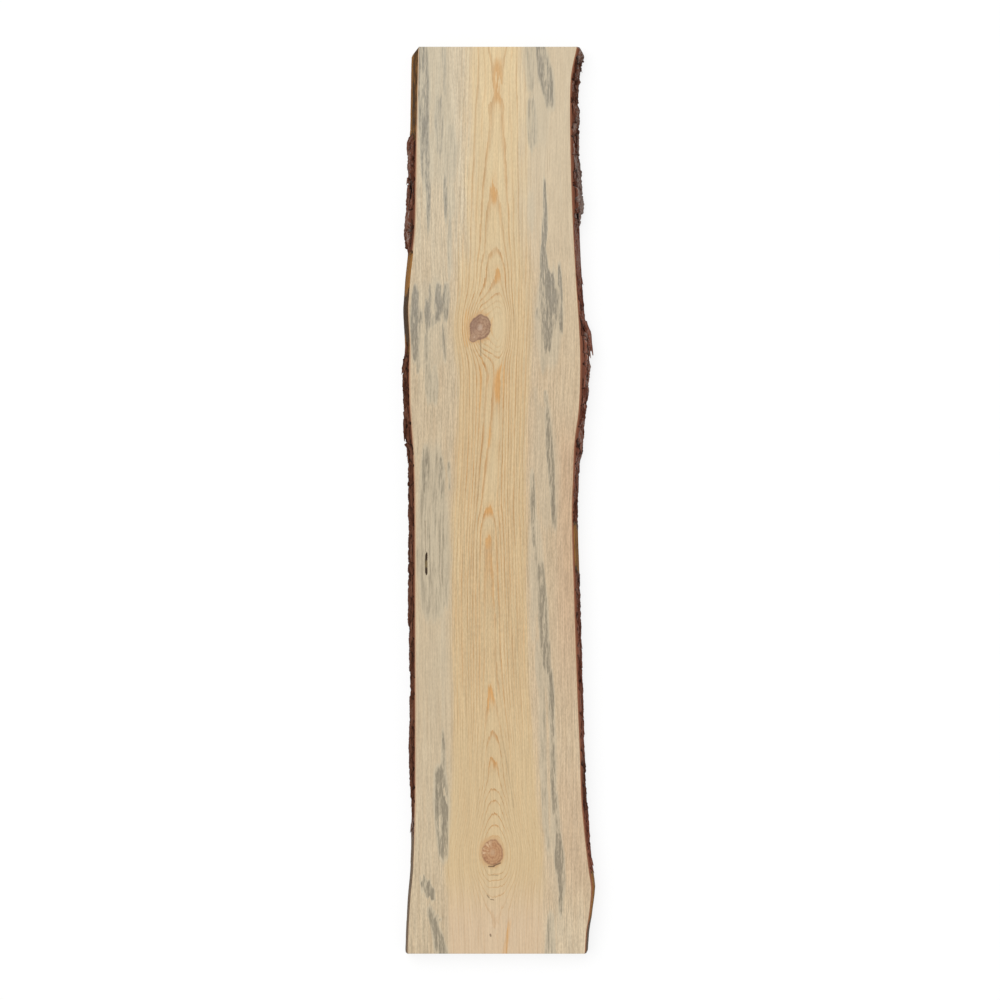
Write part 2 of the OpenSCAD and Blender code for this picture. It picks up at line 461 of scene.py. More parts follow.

# %% [markdown]
# Sapwood takes a grey-blue stain from a fungus that creeps along the fibres. The stain is a set of listed
# strokes: each runs along the grain with pointed ends. Resin shows the same way, as orange patches in the
# late wood. Both are soft masks here, and the finish breaks their borders up into fibres.

# %% Stain and resin
# Strokes as [y at the head end, y at the foot end, x at both, half width, strength]; a seventh number is
# the fullest place, as a share of the way, where that isn't the middle.
stain_strokes = [
    [635, 397, -86, -78, 26, 0.34], [305, 159, -91, -91, 29, 0.3], [100, -175, -89, -86, 25, 0.54, 0.65],
    [-120, -370, -82, -77, 18, 0.18, 0.4], [622, 450, 55, 56, 18, 0.3, 0.4], [324, 159, 66, 67, 21, 0.42],
    [-10, -150, 47, 51, 13, 0.35], [-132, -502, 59, 71, 13, 0.4], [645, 395, -101, -97, 9.5, 0.75, 0.4],
    [490, 342, -95, -92, 4.2, 0.85, 0.3], [622, 524, -73, -71, 4, 0.5, 0.4], [545, 448, -79, -78, 8, 0.58],
    [506, 410, -64, -64, 11.9, 0.45, 0.4], [-70, -160, 45, 50, 6, 0.4], [437, 363, -71, -70, 3, 0.7, 0.4],
    [424, 365, -63, -63, 6.6, 0.38, 0.4], [379, 276, -65, -65, 3.7, 0.5, 0.3],
    [290, 174, -111, -109, 7.4, 0.98, 0.55], [212, 162, -109, -106, 4, 0.8, 0.3],
    [257, 233, -102, -101, 2.4, 0.7], [286, 249, -91, -91, 2.4, 0.7], [270, 217, -94, -93, 5.2, 0.95, 0.4],
    [290, 228, -79, -80, 6.4, 0.92, 0.6], [246, 225, -85, -85, 6, 0.6], [297, 233, -69, -70, 5.6, 0.75],
    [241, 178, -74, -71, 2.8, 0.7], [225, 180, -95, -95, 4.4, 0.65, 0.4], [191, 120, -94, -91, 6, 0.55],
    [180, 116, -84, -84, 5, 0.55], [80, 4, -97, -96.5, 5.5, 0.74], [62, -4, -77, -76, 6, 0.74, 0.4],
    [56, 14, -66, -65, 2.4, 0.7, 0.4], [19, -59, -75, -74, 4.5, 0.58, 0.4], [20, -30, -97, -97, 3.4, 0.58],
    [-60, -150, -73, -71, 8, 0.56], [-79, -150, -91, -89, 8, 0.54], [-132, -317, -73, -72, 4, 0.28, 0.3],
    [-127, -264, -89, -87, 4, 0.22, 0.4], [-290, -400, -74, -72, 3.2, 0.75, 0.6],
    [-338, -490, -78, -71.5, 11, 0.94, 0.4], [-497, -531, -101, -87, 9, 1],
    [-535, -558, -92, -73, 2.6, 0.6, 0.4], [-530, -645, -94, -60, 9, 0.8, 0.6],
    [625, 510, 51, 71, 11.5, 0.84, 0.55], [640, 530, 40, 43, 10, 0.5], [540, 455, 43, 46, 9, 0.56],
    [416, 350, 43, 44, 6, 0.3], [434, 358, 60, 62, 3, 0.85, 0.6], [397, 315, 62, 59, 4.2, 0.9],
    [344, 286, 58, 62, 5.6, 0.8, 0.6], [310, 236, 68, 73.5, 7.9, 1], [313, 228, 59.5, 62, 8.5, 0.85],
    [280, 218, 75, 77, 3.4, 0.8, 0.4], [320, 212, 81, 82.5, 4, 0.85, 0.55],
    [254, 186, 65, 65, 8.5, 0.95, 0.3], [207, 167, 60, 59, 4, 0.45, 0.3], [257, 236, 52, 52, 4, 0.7],
    [154, 114, 49, 51, 4, 0.25], [151, 119, 60, 65, 2.6, 0.7], [132, -50, 63, 75.5, 5.4, 0.98, 0.4],
    [45, -79, 44, 48, 4.2, 0.8, 0.35], [-37, -119, 48, 52, 1.9, 0.55],
    [-66, -238, 55, 64, 7.5, 0.88, 0.55], [-119, -198, 44, 47, 5.3, 0.3], [-180, -260, 53, 56, 6.6, 0.42],
    [-165, -240, 65, 67, 3.4, 0.8], [-215, -330, 69, 71.5, 4.2, 0.98], [-255, -450, 59.5, 62.5, 7, 0.52],
    [-310, -430, 70.5, 74, 3.7, 0.86], [-350, -475, 63, 67, 4, 0.55], [-381, -463, 75, 79, 4.2, 0.7, 0.6],
    [-439, -535, 68, 72, 4.6, 0.2, 0.3], [-436, -537, 79, 83, 6.6, 0.94, 0.35],
    [-502, -558, 83, 82, 3.3, 0.9, 0.4], [-535, -661, 69.5, 68, 8, 0.6], [150, -60, 58, 70, 20, 0.28],
    [-400, -600, 78, 82, 10, 0.25],
]
# Clean slits inside the stain.
clean_strokes = [
    [-367, -407, -75, -67, 1.6, 0.9], [-412, -439, -77, -77, 1.5, 0.8], [-235, -455, 62.5, 68.5, 2.2, 1],
    [524, 477, -90, -90, 1.2, 0.8], [-543, -557, -88, -76, 1.2, 0.6],
]
resin_strokes = [
    [600, 505, 0, -2, 7, 0.55], [438, 388, -6, -6, 6, 0.8], [314, 284, -2, -1.5, 5, 0.8],
    [184, 126, 3, 0, 8, 1.1], [196, 116, -22, -25, 3, 1.1], [100, 68, -12, -13, 4, 0.8],
    [256, 198, -41, -43, 6, 1.2], [0, -24, -12.5, -12.5, 7, 0.9], [-38, -66, -13.5, -14, 5, 0.7],
    [-64, -150, -11, -9, 8, 0.4], [-240, -284, -11, -11, 6, 1], [-336, -364, -7.5, -7, 8, 0.5],
    [-548, -655, 17, -2, 3.4, 2.4],
]


def strokes(marks, x, y):
    """Strongest of many soft strokes: full along a stroke's middle line and fading across its half width,
    which swells from the head end to the fullest place and shrinks again to the foot end."""
    shade = np.zeros(x.shape)
    for head_y, foot_y, head_x, foot_x, half_width, strength, *fullest in marks:
        full_at = fullest[0] if fullest else 0.5
        run = (head_y - y) / (head_y - foot_y)
        swell = np.clip(np.minimum(run / full_at, (1 - run) / (1 - full_at)), 0, 1)
        width = half_width * (0.25 + 0.75 * swell ** 0.6)
        aside = np.abs(x - head_x - (foot_x - head_x) * run) / width
        shade = np.maximum(shade, strength * ease(1.3, 0.6, aside) * ease(0, 0.3, swell))
    return shade


print(f"{len(stain_strokes)} strokes of stain, {len(resin_strokes)} of resin")

# %% [markdown]
# The board itself: grid lines run along and across it, closer together where knots and arches need them.
# The saw left flat faces; planing raised the hard knots a little, and a resin pocket is a real slit.

# %% Board shape
def spaced(stretches):
    """Grid lines over neighbouring stretches, each given as [start, end, spacing]."""
    lines = [np.linspace(a, b, max(2, round((b - a) / step) + 1))[:-1] for a, b, step in stretches]
    return np.concatenate([*lines, [stretches[-1][1]]])


inner_left, inner_right = -99, 86
columns = spaced([[inner_left, -42, 1.4], [-42, 34, 1.5], [34, inner_right, 1.4]])
rim_columns = {LEFT: 10, RIGHT: 9}
saw_chamfer, knot_rise = 0.4, 0.25
stations = spaced([
    [-half_length, -half_length + 1, 0.5], [-half_length + 1, -530, 5], [-530, -395, 2.6], [-395, -100, 6],
    [-100, -60, 3], [-60, 170, 5.5], [170, 330, 2.8], [330, half_length - 1, 5.5],
    [half_length - 1, half_length, 0.5],
])
levels = np.linspace(0, thickness, 11)
slit = [-66, -101, -95.7, -95.4, 1.6, 1.6, 0.6]


def slit_x(x, y):
    """x as the slit sees it, so that its outline wanders."""
    return x + 0.5 * wander(y / 5, y * 0, 29)


def board_points():
    """Corners of the board: fixed grid lines in the middle and stretched ones out to the natural edges."""
    n_left, n_right = rim_columns[LEFT], rim_columns[RIGHT]
    (i, j, k), quads = box_skin(len(columns) + n_left + n_right, len(stations), len(levels))
    y, z = stations[j], levels[k]
    share_left = np.clip(i / n_left, 0, 1)
    share_right = np.clip((i - n_left - len(columns) + 1) / n_right, 0, 1)
    middle = columns[np.clip(i - n_left, 0, len(columns) - 1)]
    left = flank("wood", LEFT, y, z) * (1 - share_left) + inner_left * share_left
    right = flank("wood", RIGHT, y, z) * share_right + inner_right * (1 - share_right)
    x = np.where(share_left < 1, left, np.where(share_right > 0, right, middle))
    upper = k == len(levels) - 1
    knot, _ = knot_field(x, y, z)
    relief = knot_rise * ease(1.1, 0.8, knot) - strokes([slit], slit_x(x, y), y)
    at_cut = np.abs(y) == half_length
    z = z + np.where(upper, np.where(at_cut, -saw_chamfer, relief), 0)
    z = z + np.where((k == 0) & at_cut, saw_chamfer, 0)
    return np.column_stack([x, drawn_back(x, y), z]), quads


board_corners, board_quads = board_points()
x, y, z = board_corners.T
knot, knot_red = knot_field(x, y, z)
radius = ring_radius(x, y, z)
past_heart = past_heartwood(x, y, z)
under_face = 1 - z / thickness
near_face = ease(0.4, 0, under_face)
stain_x = x * (1 + 0.18 * under_face) + rough(x / 22, y / 45, 21)
stain_y = y + 6 * wander(x / 2.6, y / 160, 23)
board_values = {
    "ring_age": ring_age(radius),
    "ring_lines": ring_lines(x, y),
    "past_heart": past_heart,
    "grain": grain_amount(x, y, past_heart) * (1 - 0.45 * calmness(x, y)),
    "calm": calmness(x, y),
    "fibre": fibre_place(x, y),
    "knot": knot,
    "knot_red": knot_red,
    "stain": strokes(stain_strokes, stain_x, stain_y) * (1 - 0.9 * strokes(clean_strokes, stain_x, stain_y)),
    "resin": np.maximum(strokes(resin_strokes, x, y) * near_face, 0.55 * ease(1.5, 1.0, knot)),
    "pocket": strokes([slit], slit_x(x, y), y) * near_face,
}
stained = np.mean(board_values["stain"] > 0.4)
print(f"ring radius {radius.min():.0f} to {radius.max():.0f} mm, stain on {stained:.0%} of the corners")

# %% [markdown]
# Finishes are node trees, and a tree of maths nodes is hard to read. So a small class wraps a socket, and
# ordinary Python arithmetic on it adds the Math nodes.

# %% Numbers in a finish
class Value:
    """A number on its way through a finish: arithmetic on it adds Math nodes to the finish's tree."""

    def __init__(self, finish, socket):
        self.finish, self.socket = finish, socket

    def maths(self, operation, *others):
        return self.finish.node("ShaderNodeMath", {"operation": operation}, dict(enumerate((self, *others))))

    __add__ = __radd__ = partialmethod(maths, "ADD")
    __mul__ = __rmul__ = partialmethod(maths, "MULTIPLY")
    __sub__ = partialmethod(maths, "SUBTRACT")
    __truediv__ = partialmethod(maths, "DIVIDE")
    floor, root = partialmethod(maths, "FLOOR"), partialmethod(maths, "SQRT")
    at_most, at_least = partialmethod(maths, "MINIMUM"), partialmethod(maths, "MAXIMUM")

    def __rsub__(self, other):
        return self.finish.node("ShaderNodeMath", {"operation": "SUBTRACT"}, {0: other, 1: self})

    def ease(self, low, high):
        """0 at low, 1 at high and an S-curve between."""
        settings = {"interpolation_type": "SMOOTHSTEP"}
        if low > high:
            return 1 - self.ease(high, low)
        return self.finish.node("ShaderNodeMapRange", settings, {0: self, 1: low, 2: high, 3: 0.0, 4: 1.0})


# %% [markdown]
# A finish owns the tree. Every node comes from one method, which sets the node's own settings first and then
# its sockets; the other methods are short names for the nodes that wood and bark need.

# %% Finishes from expressions
class Finish:
    """The node tree of a material, or of the sky, which grows from expressions."""

    def __init__(self, owner):
        owner.use_nodes = True
        self.owner, self.tree = owner, owner.node_tree

    def set(self, shader, **sockets):
        """Plugs values into a shader's sockets; an underscore in a name stands for a blank."""
        for name, value in sockets.items():
            self.plug(self.tree.nodes[shader].inputs[name.replace("_", " ")], value)
        print(f"{self.owner.name}: {len(self.tree.nodes)} nodes")

    def node(self, kind, settings, sockets, output=0):
        made = self.tree.nodes.new(kind)
        for setting, value in settings.items():
            setattr(made, setting, value)
        for socket, value in sockets.items():
            self.plug(made.inputs[socket], value)
        return Value(self, made.outputs[output])

    def plug(self, socket, value):
        if isinstance(value, Value):
            self.tree.links.new(value.socket, socket)
        else:
            socket.default_value = value

    def attribute(self, name):
        """A value kept at the piece's corners."""
        return self.node("ShaderNodeAttribute", {"attribute_name": name}, {}, "Fac")

    def place(self):
        """x, y and z of the point on the piece, in millimetres."""
        metres = self.node("ShaderNodeTexCoord", {}, {}, "Object")
        parts = [self.node("ShaderNodeSeparateXYZ", {}, {0: metres}, axis) for axis in range(3)]
        return [part / MM for part in parts]

    def noise(self, x, y, z, detail=2.0, roughness=0.5):
        """Soft noise, 0 to 1 around a half, with features about one unit long."""
        place = self.node("ShaderNodeCombineXYZ", {}, {0: x, 1: y, 2: z})
        sockets = {"Vector": place, "Scale": 1.0, "Detail": detail, "Roughness": roughness}
        return self.node("ShaderNodeTexNoise", {}, sockets, "Fac")

    def mix(self, share, first, second):
        """Blend of two colours."""
        return self.node("ShaderNodeMix", {"data_type": "RGBA"}, {0: share, 6: first, 7: second}, 2)

    def coats(self, colour, *layers):
        """A colour under further coats, each given as its share and its own colour."""
        for share, layer in layers:
            colour = self.mix(share, colour, layer)
        return colour

    def tint(self, colour, brightness):
        """A colour times a number."""
        grey = self.node("ShaderNodeCombineColor", {}, {0: brightness, 1: brightness, 2: brightness})
        settings = {"data_type": "RGBA", "blend_type": "MULTIPLY"}
        return self.node("ShaderNodeMix", settings, {0: 1.0, 6: colour, 7: grey}, 2)

    def scratch(self, x, y, start, end, half_width):
        """1 on a straight mark between two points, 0 beyond one and a half times its half width."""
        run_x, run_y = end[0] - start[0], end[1] - start[1]
        from_x, from_y = x - start[0], y - start[1]
        run = (from_x * run_x + from_y * run_y) / (run_x ** 2 + run_y ** 2)
        run = run.at_least(0.0).at_most(1.0)
        off_x, off_y = from_x - run * run_x, from_y - run * run_y
        gap = (off_x * off_x + off_y * off_y).root()
        return gap.ease(1.5 * half_width, 0.5 * half_width)

    def bump(self, height, distance):
        """Normal of a surface raised by a height from 0 to 1 times a distance in millimetres."""
        sockets = {"Height": height, "Distance": distance * MM, "Strength": 1.0}
        return self.node("ShaderNodeBump", {}, sockets)


def paint(red, green, blue):
    """A colour as a screen shows it, 0 to 255, made linear for the shader."""
    shown = np.array([red, green, blue]) / 255
    linear = np.where(shown > 0.04045, ((shown + 0.055) / 1.055) ** 2.4, shown / 12.92)
    return (*linear.tolist(), 1.0)


# %% [markdown]
# Planed pine is fibres first: noise stretched along the trunk, in all three directions, so that the cross
# cuts show the fibres' ends. Some of it bends and blurs the rings, and the rest shades the wood.

# %% Fibres in the finish
wood = Finish(bpy.data.materials.new("planed_pine"))
x, y, z = wood.place()
fibre = wood.attribute("fibre")


def fibres(width, length, detail=2, roughness=0.5):
    """Noise whose features are so wide across the fibres and so long along them."""
    return wood.noise(fibre / width, y / length, z / width, detail, roughness)


waver = fibres(9, 90) - 0.5
sway = fibres(5, 38) - 0.5
jitter = fibres(1.8, 22, 3, 0.6) - 0.5
fine = fibres(1.7, 32, 3, 0.6).ease(0.28, 0.72)
broad = fibres(4.5, 120, 3, 0.55).ease(0.28, 0.72)
threads = fibres(1.9, 150).ease(0.3, 0.7)
flecks = fibres(1.6, 5).ease(0.3, 0.7)

# %% [markdown]
# Pale early wood turns darker through the summer and ends each year in a thin hard line of orange late
# wood. The season is what is left of the ring age without its whole years.

# %% Late wood
LATE_FROM, LATE_FULL, YEAR_END = 0.55, 0.9, 0.96
age = wood.attribute("ring_age") + waver * 0.5 + sway * 0.45 + jitter * 0.3
year = age.floor()
season = age - year
strength = wood.node("ShaderNodeTexWhiteNoise", {"noise_dimensions": "1D"}, {"W": year}, "Value")
fading = fibres(3, 60).ease(0.32, 0.62)
thin = y.ease(-290, -335)
late = (season - thin * 0.2).ease(LATE_FROM, LATE_FULL) * season.ease(1.0, YEAR_END) * (thin * 0.5 + 1)
lines = late * wood.attribute("ring_lines") * (strength * 0.6 + 0.45) * (fading * 0.6 + 0.45)

# %% [markdown]
# The heart is yellower than the sapwood, which is creamy on one side and pinkish on the other. Late wood,
# calm places and resin lie over them as coats of colour, and the fibres shade the result.

# %% Heart and sapwood
head, foot = y.ease(120, 480), y.ease(-480, -570)
heart_blur = y.ease(100, 350) * 5 + 5.5
heart = (wood.attribute("past_heart") / heart_blur + waver * 2).ease(1, -1)
heart_pale = wood.coats(paint(212, 188, 147), (head, paint(222, 200, 159)), (foot, paint(214, 190, 158)))
heart_shade = 1 + y.ease(440, 560) * 0.055 - y.ease(0, -90) * y.ease(-300, -220) * 0.03
pink = y.ease(130, 50) * y.ease(-330, -130) + y.ease(-300, -400) * y.ease(-540, -480) * 0.5
sap = wood.coats(
    paint(206, 188, 158),
    (x.ease(-40, 60), paint(209, 188, 157)),
    (x.ease(66, 90) * pink, paint(202, 174, 143)),
    (head + y.ease(-520, -580) * x.ease(40, 80) * 0.8,
     wood.mix(x.ease(-20, -60), paint(214, 197, 168), paint(216, 202, 175))),
)
late_colour = wood.mix(heart, paint(182, 152, 116), paint(186, 137, 84))
lively = wood.attribute("grain")
resin = wood.attribute("resin") * (late * 0.7 + 0.16)
colour = wood.coats(
    wood.tint(sap, 1 - y.ease(-500, -580) * x.ease(-30, -60) * 0.04),
    (heart, wood.tint(heart_pale, heart_shade)),
    (broad * lively * 0.2 + 0.02, late_colour),
    ((lines * 0.85).at_most(0.95), late_colour),
    (wood.attribute("calm") * 0.55, paint(215, 194, 156)),
    (resin.at_most(0.85), paint(208, 157, 96)),
)
grain = (fine - 0.5) * (0.2 - heart * 0.06) + (threads - 0.5) * (heart * 0.06 + 0.1) + (flecks - 0.5) * 0.13
colour = wood.tint(colour, grain * lively + 1)

# %% [markdown]
# Blue stain is a pale veil with dark hairs in it. The soft strokes kept at the corners are broken up here by
# the fibres: weak ones into a haze, strong ones into nearly closed streaks with ragged borders.

# %% Stain in the finish
streak = fibres(2.6, 42, 3, 0.6).ease(0.3, 0.7)
hair = fibres(1.2, 10).ease(0.3, 0.7)
stain = wood.attribute("stain")
full = stain.ease(0.4, 0.9)
uneven = (streak - 0.5) * 0.8 + (broad - 0.5) * 0.3 + (fine - 0.5) * 0.5 + (hair - 0.5) * full * 0.6
uneven = uneven * (full * 0.5 + 0.5) * (1 - y.ease(300, 420) * 0.2)
ragged = (stain * 1.02 + uneven).ease(0.34, 1.0) * stain.ease(0.02, 0.3)
cool = y.ease(120, 330) * (x.ease(20, -50) * 0.3 + 0.7)
shading = (0.5 - streak) * 0.3 + (0.5 - hair) * 0.4 + (flecks - 0.5) * 0.35
stain_colour = wood.tint(wood.mix(cool, paint(119, 110, 94), paint(120, 118, 113)), shading + 1)
veil = stain.ease(0.05, 0.5) * 0.38
colour = wood.coats(colour, (veil, paint(211, 201, 176)), (ragged * 0.52 + stain * 0.2, stain_colour))

# %% [markdown]
# A knot is hard dark end grain with its own rings, cracks that run out from its middle and a dark rim. One
# set of expressions draws both: the red knot is lighter, has wider splits and lacks the first one's shadow.

# %% Knots in the finish
knot, red = wood.attribute("knot"), wood.attribute("knot_red")
first, second = knots
east = x - (red * (second["x"] - first["x"]) + first["x"])
north = y - (red * (second["y"] - first["y"]) + first["y"])
reach = (east * east + north * north + 0.01).root()
rays = wood.noise(east / reach * 3.4, north / reach * 3.4, knot * 1.3 + z / 20)
burr = wood.noise(x / 4.2, y / 4.2, z / 4.2, 3, 0.6)
branch_year = knot * 4 + burr * 2.4
branch_season = branch_year - branch_year.floor()
branch_ring = branch_season.ease(0.3, 0.9) * branch_season.ease(1.0, 0.9)
rim = (knot + (burr - 0.5) * 0.35).ease(0.76, 0.98)
split = rays.ease(0.52, 0.6) * red * east.ease(2, -7) * knot.ease(0.15, 0.4) * knot.ease(1.0, 0.85)
branch = wood.coats(
    wood.mix(red, paint(178, 144, 116), paint(194, 150, 110)),
    (branch_ring * 0.5 + rays.ease(0.45, 0.65) * (0.35 - red * 0.15),
     wood.mix(red, paint(136, 100, 76), paint(158, 108, 72))),
    # Painted shadow on the first knot's left side, towards the head; the red knot has none.
    (east.ease(6, -10) * north.ease(-14, 0) * (0.5 - red * 0.5), paint(142, 110, 94)),
    (burr.ease(0.48, 0.62) * (north.ease(2, -9) * 0.4 + 0.3) * red, paint(146, 100, 68)),
    (knot.ease(0.34, 0.1) * 0.6, wood.mix(red, paint(200, 174, 152), paint(200, 166, 132))),
    (rim * (0.5 - red * 0.2), paint(116, 82, 66)),
    (split * 0.75, paint(216, 184, 146)),
)
branch = wood.tint(branch, (burr - 0.5) * 0.5 + 0.98)
in_knot = (knot + (burr - 0.5) * 0.16).ease(1.06, 0.9)
halo = knot.ease(1.4, 1.06) * (burr.ease(0.3, 0.6) * 0.4 + 0.45)
halo = halo * (1 - east.ease(6, 12) * (0.9 - red * 0.4))
colour = wood.coats(colour, (halo, paint(202, 164, 119)), (in_knot, branch))

# %% [markdown]
# Last come the resin slit, which is dark with an olive middle, and hairline cracks on the upper face. Hard
# late wood and knots take a little more polish from the plane than the soft wood around them.

# %% Slit, cracks and gloss
pocket_colour = wood.mix(y.ease(-91, -87) * y.ease(-78, -82), paint(62, 46, 30), paint(124, 106, 74))
colour = wood.mix(wood.attribute("pocket").ease(0.3, 0.7), colour, pocket_colour)
# Cracks and ticks as [x, y at one end, x, y at the other, half width, strength].
fine_marks = [
    [-23.8, 213, -23.2, 191, 0.6, 0.5], [-13, -484.5, -6, -484.6, 0.9, 0.8],
    [-6, -483.6, 2.5, -480, 0.8, 0.8], [-14.7, -522.8, -12.2, -526.2, 0.7, 0.6],
    [-10.5, -528, -6.2, -528.8, 0.7, 0.6], [-9.9, -495.8, -0.7, -496.5, 0.6, 0.35],
    [-10.8, -574.5, -10.2, -576.5, 1.1, 0.7], [-97.2, -27.5, -96.6, -68.5, 0.5, 0.45],
    [6, -320, 11, -346, 0.7, 0.2], [11, -346, 20, -407, 0.7, 0.24],
]
on_face = z.ease(thickness - 2, thickness - 1)
for start_x, start_y, end_x, end_y, half_width, depth in fine_marks:
    mark = wood.scratch(x + jitter * 2, y, (start_x, start_y), (end_x, end_y), half_width)
    colour = wood.mix(mark * on_face * depth, colour, paint(96, 72, 52))

matt = 0.66 - late * 0.1 - in_knot * 0.12 + (fine - 0.5) * 0.1
relief = wood.bump(fine * 0.6 + lines * 0.3 + broad * 0.2, 0.16)
wood.set("Principled BSDF", Base_Color=colour, Roughness=matt, Normal=relief, Specular_IOR_Level=0.25)
board = make_piece("plank_board", board_corners, board_quads, board_values, wood.owner, "sawn_timber")
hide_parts("timber_board")

# %% [markdown]
# Pine bark grows in thin layers that crack into scales as the trunk widens. Where the scales have come off,
# the smooth inner bark shows. The frame gives how thick the bark is along each edge, and tables say where
# plates stand out, where the bark is bare and which colour it has.

# %% Plates and colours of the bark
# Plates and bare places stand out or back from an even thickness, as y: mm.
plates = {
    LEFT: {
        -560: -0.8, -540: -2.4, -502: -2.2, -480: -0.6, -390: -0.6, -325: 1.5, -300: 1, -250: -0.5,
        -165: 1.2, -66: 1, -40: -0.4, 0: 1.2, 30: 0.6, 50: -1.6, 70: -1.8, 78: 0.4, 95: -1.6, 110: -1.8,
        120: 0, 185: 0.4, 205: 1.6, 238: 1.2, 265: -0.6, 280: -1.4, 328: -1.4, 332: -0.4, 350: 0.6,
        385: 1.8, 400: 0, 425: -0.4, 440: 0.8, 477: 1.8, 486: 0.4, 530: 0.8, 580: 1.8,
    },
    RIGHT: {
        -120: 0, -60: -0.6, 40: 0, 62: 0.4, 64: 0, 88: -0.2, 95: -2.2, 108: -2.2, 125: 0, 366: 0, 372: -2,
        379: -2, 381: 1.2, 398: 0.8, 410: -0.8, 430: -0.8, 437: 0.4, 450: -0.8, 470: -1.6, 490: -0.8,
        500: 1.3, 518: 1.2, 525: -1.6, 550: -2.8, 562: -0.6, 580: 0,
    },
}
# Painted shade in the hollows under lifted plates, as [y, z, reach along, reach up].
painted_hollow_shade = {LEFT: [], RIGHT: [[206, 17, 22, 10], [66, 16, 8, 8], [376, 17, 6, 8]]}
# Share of pale living tissue next to the wood.
pale_rind = {LEFT: 1.0, RIGHT: 0.15}
# Shares of golden bare bark, of red bark and of weathered grey along each strip, as y: share.
gold_bark = {
    LEFT: {
        -600: 0.5, -480: 0.45, -420: 0, 185: 0, 192: 0.6, 215: 0.6, 222: 0.3, 268: 0.3, 280: 1, 326: 1,
        333: 0, 480: 0, 487: 0.6, 600: 0.6,
    },
    RIGHT: {-600: 0.3, -562: 0.5, -552: 1, -492: 1, -482: 0, -98: 0, -90: 0.8, -38: 0.8, -28: 0},
}
# Share of the outer bark that bare bark keeps, as y: share.
bare_thickness = {
    LEFT: {-600: 0.5, -420: 0.4, 185: 0.4, 268: 0.35, 280: 0.15, 326: 0.15, 480: 0.6, 487: 1.2, 600: 1.2},
    RIGHT: {-600: 0.6, -552: 1, 600: 1},
}
red_bark = {
    LEFT: {-600: 0.1, 200: 0.15, 400: 0.3, 600: 0.1},
    RIGHT: {
        -490: 1, -430: 1, -395: 0.1, -350: 0.1, -320: 0.8, -200: 0.7, -100: 0.3, 50: 0.75, 300: 0.85,
        380: 0.5, 600: 0.3,
    },
}
grey_bark = {
    LEFT: {-600: 0.7, -430: 0.7, -410: 0, 330: 0.05, 340: 0.35, 476: 0.25, 484: 0.06, 600: 0},
    RIGHT: {
        -600: 0.6, -565: 0.5, -550: 0, -400: 0.1, 0: 0.25, 60: 0.45, 200: 0.35, 350: 0.35, 375: 1,
        450: 0.9, 470: 0.4, 600: 0.6,
    },
}


def along_bark(table, side, y):
    """Value of a table at a place along a strip, straight between its points."""
    places, shares = np.array(list(table[side].items()), float).T
    return np.interp(y, places, shares)


def bark_tones(side, y):
    """Colour shares along a strip, for its corners."""
    tables = {"gold": gold_bark, "red": red_bark, "grey": grey_bark}
    return {name: along_bark(table, side, y) for name, table in tables.items()}


# %% [markdown]
# The relief splits the thickness into inner bark and scales. Scales are cells around scattered seeds, with
# furrows where two cells meet, and they break off along a ragged line where the bark gets thin or bare.

# %% Bark shape
inner_bark, thinnest_skin = 1.3, 0.3
bark_seed = {LEFT: 40, RIGHT: 60}
# Lengths over which the bark tapers to nothing at the foot and at the head.
broken_corner = {LEFT: (2.5, 3), RIGHT: (3, 3)}


def solid_bark(side, y, z):
    """Thickness of the frame's own bark."""
    return (flank("bark", side, y, z) - flank("wood", side, y, z)) * side


def torn_edge(side, y, z):
    """How far the end of a bare place wanders along the strip."""
    return 12 * rough(z / 8, y / 40, bark_seed[side])


def bark_relief(side, y, z):
    """Thickness of the bark, how bare it is, its furrows with painted shade in hollows, the number of each
    scale, and the height of its ridges for painted highlight and shade.
    """
    seed = bark_seed[side]
    outer = np.maximum(solid_bark(side, y, z) - inner_bark, 0)
    bare = ease(0.15, 0.3, along_bark(gold_bark, side, y + torn_edge(side, y, z)))
    kept = ease(0.3, 0.8, outer + 0.6 * rough(y / 14, z / 9, seed)) * (1 - bare)
    drift = 0.35 * rough(y / 16, z / 8, seed + 5)
    nearest, second, tone = scales(y / 24 + drift, z / 9.5 + drift, seed + 10)
    furrow_and_shade = ease(0.22, 0.02, second - nearest)
    ridges = rough(y / 7, z / 3, seed + 20)
    small = rough(y / 2.6, z / 2.2, seed + 30)
    plate = along_bark(plates, side, y)
    scale = outer * (0.64 + 0.68 * tone) * (1 - 0.65 * furrow_and_shade)
    scale = scale + (0.5 * ridges + 0.42 * small) * np.sqrt(outer) + plate * np.minimum(outer, 1)
    skin = inner_bark + along_bark(bare_thickness, side, y) * outer * bare
    skin = skin + 0.15 * rough(y / 9, z / 2.5, seed + 35) + np.minimum(plate, 0) * bare
    skin = np.maximum(skin, thinnest_skin)
    # Painted shade in the hollows under lifted plates, added to the furrows' darkness for the finish only.
    for place_y, place_z, along, up in painted_hollow_shade[side]:
        furrow_and_shade = np.maximum(furrow_and_shade, ease(1, 0.5, np.hypot((y - place_y) / along, (z - place_z) / up)))
    foot_taper, head_taper = broken_corner[side]
    corner = np.clip((half_length + y) / foot_taper, 0.08, 1)
    corner = corner * np.clip((half_length - y) / head_taper, 0.08, 1)
    # Height of the fine ridges, for the finish's painted highlight on them and painted shade between them.
    painted_relief_shading = np.clip(0.5 + 0.45 * ridges + 0.4 * small, 0, 1)
    return (skin + kept * np.maximum(scale, 0.15)) * corner, 1 - kept, furrow_and_shade * kept, tone, painted_relief_shading


bark_stations = np.linspace(-half_length, half_length, 1021)
bark_levels = np.linspace(0, thickness, 25)
bark_shares = np.array([0, 0.18, 0.4, 0.62, 0.82, 1.0])
sunk, below_saw = 0.3, 0.12


